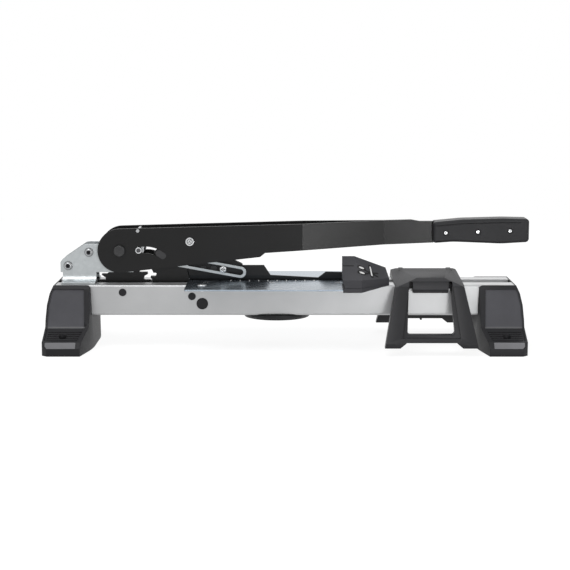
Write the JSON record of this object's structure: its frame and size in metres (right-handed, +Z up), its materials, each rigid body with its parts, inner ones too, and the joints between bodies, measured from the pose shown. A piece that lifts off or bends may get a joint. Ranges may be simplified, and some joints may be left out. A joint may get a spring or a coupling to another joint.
{
  "type": "laminate cutter",
  "caption": "Bench guillotine for laminate planks: a long hand lever drives a guided blade over a slotted table on a beam with end feet, an angle fence and a support trestle.",
  "frame": {"origin": "on the floor, midway between the four fixing holes of the feet and in the plane of the blade", "axes": "+X along the beam towards the grip, +Y away from the operator, +Z up"},
  "size_m": [0.6558, 0.212, 0.1742],
  "materials": {
    "beam_steel": "satin silver coating",
    "zinc_sheet": "galvanised sheet",
    "table_steel": "bright, nearly mirror-like plate",
    "lever_black": "satin black coating",
    "black_steel": "satin black coating",
    "black_bolt": "black oxide",
    "zinc_screw": "zinc-plated",
    "bright_screw": "bright plated",
    "foot_plastic": "fine-grained dark grey",
    "trestle_plastic": "fine-grained dark grey",
    "fence_plastic": "fine-grained dark grey",
    "grip_plastic": "matte dark grey",
    "dark_plastic": "matte black",
    "grey_plastic": "matte grey",
    "bar_plastic": "matte black cutting bar",
    "pad_rubber": "matte rubber"
  },
  "bodies": {
    "base": {"beam": "beam_steel", "hole_plugs": "dark_plastic", "foot_left": "foot_plastic", "foot_right": "foot_plastic", "foot_pads": "pad_rubber", "foot_screws": "zinc_screw", "bracket_front": "zinc_sheet", "bracket_rear": "zinc_sheet", "bracket_spacers": "zinc_screw", "bracket_screws": "zinc_screw", "bracket_nuts": "zinc_screw", "pivot_bolt": "black_bolt", "pivot_nut": "black_bolt", "pivot_bush": "zinc_screw", "pivot_washers": "zinc_screw", "catch_plate": "black_steel", "guide_plate": "black_steel", "catch_screws": "zinc_screw", "link_pin": "zinc_screw", "link_washers": "zinc_screw", "cutting_bar": "bar_plastic", "table_front": "table_steel", "table_rear": "table_steel", "table_screws": "zinc_screw", "table_button": "bright_screw", "fence_shoe": "fence_plastic", "fence_pin": "zinc_screw", "carry_disc": "dark_plastic", "disc_screws": "zinc_screw"},
    "lever": {"lever_plate_front": "lever_black", "lever_plate_rear": "lever_black", "cross_rod": "zinc_screw", "stop_blocks": "grey_plastic", "blade_rivet": "bright_screw", "rivet_spacers": "zinc_screw", "grip_front": "grip_plastic", "grip_rear": "grip_plastic", "grip_screws": "bright_screw"},
    "blade_unit": {"blade": "black_steel", "carrier_front": "black_steel", "carrier_rear": "black_steel", "carrier_spacer": "zinc_screw", "carrier_screws": "black_bolt", "link_bolt": "bright_screw", "link_nut": "zinc_screw"},
    "links": {"link_front": "zinc_sheet", "link_rear": "zinc_sheet"},
    "latch": {"latch_pin": "bright_screw", "latch_washers": "zinc_screw"},
    "fence": {"fence_block": "fence_plastic"},
    "trestle": {"trestle": "trestle_plastic"}
  },
  "joints": [
    {"name": "lever_hinge", "type": "hinge", "parent": "base", "child": "lever", "pos_m": [-0.2252, 0, 0.1308], "axis": [0, -1, 0], "range_deg": [0, 60]},
    {"name": "blade_hinge", "type": "hinge", "parent": "lever", "child": "blade_unit", "pos_m": [-0.1294, 0, 0.1432], "axis": [0, -1, 0], "range_deg": [-45.6, 0]},
    {"name": "link_hinge", "type": "hinge", "parent": "base", "child": "links", "pos_m": [-0.17, 0, 0.1195], "axis": [0, -1, 0], "range_deg": [0, 75]},
    {"name": "latch_slide", "type": "hinge", "parent": "lever", "child": "latch", "pos_m": [-0.191, 0, 0.091], "axis": [0, 1, 0], "range_deg": [0, 21]},
    {"name": "fence_swivel", "type": "hinge", "parent": "base", "child": "fence", "pos_m": [0.087, -0.059, 0.1], "axis": [0, 0, 1], "range_deg": [0, 45]},
    {"name": "trestle_lift", "type": "slide", "parent": "base", "child": "trestle", "axis": [0, 0, 1], "range_m": [0, 0.035]}
  ],
  "couplings": [
    {"joint": "blade_hinge", "follows": "lever_hinge", "ratio": -0.76},
    {"joint": "link_hinge", "follows": "lever_hinge", "ratio": 1.25}
  ]
}
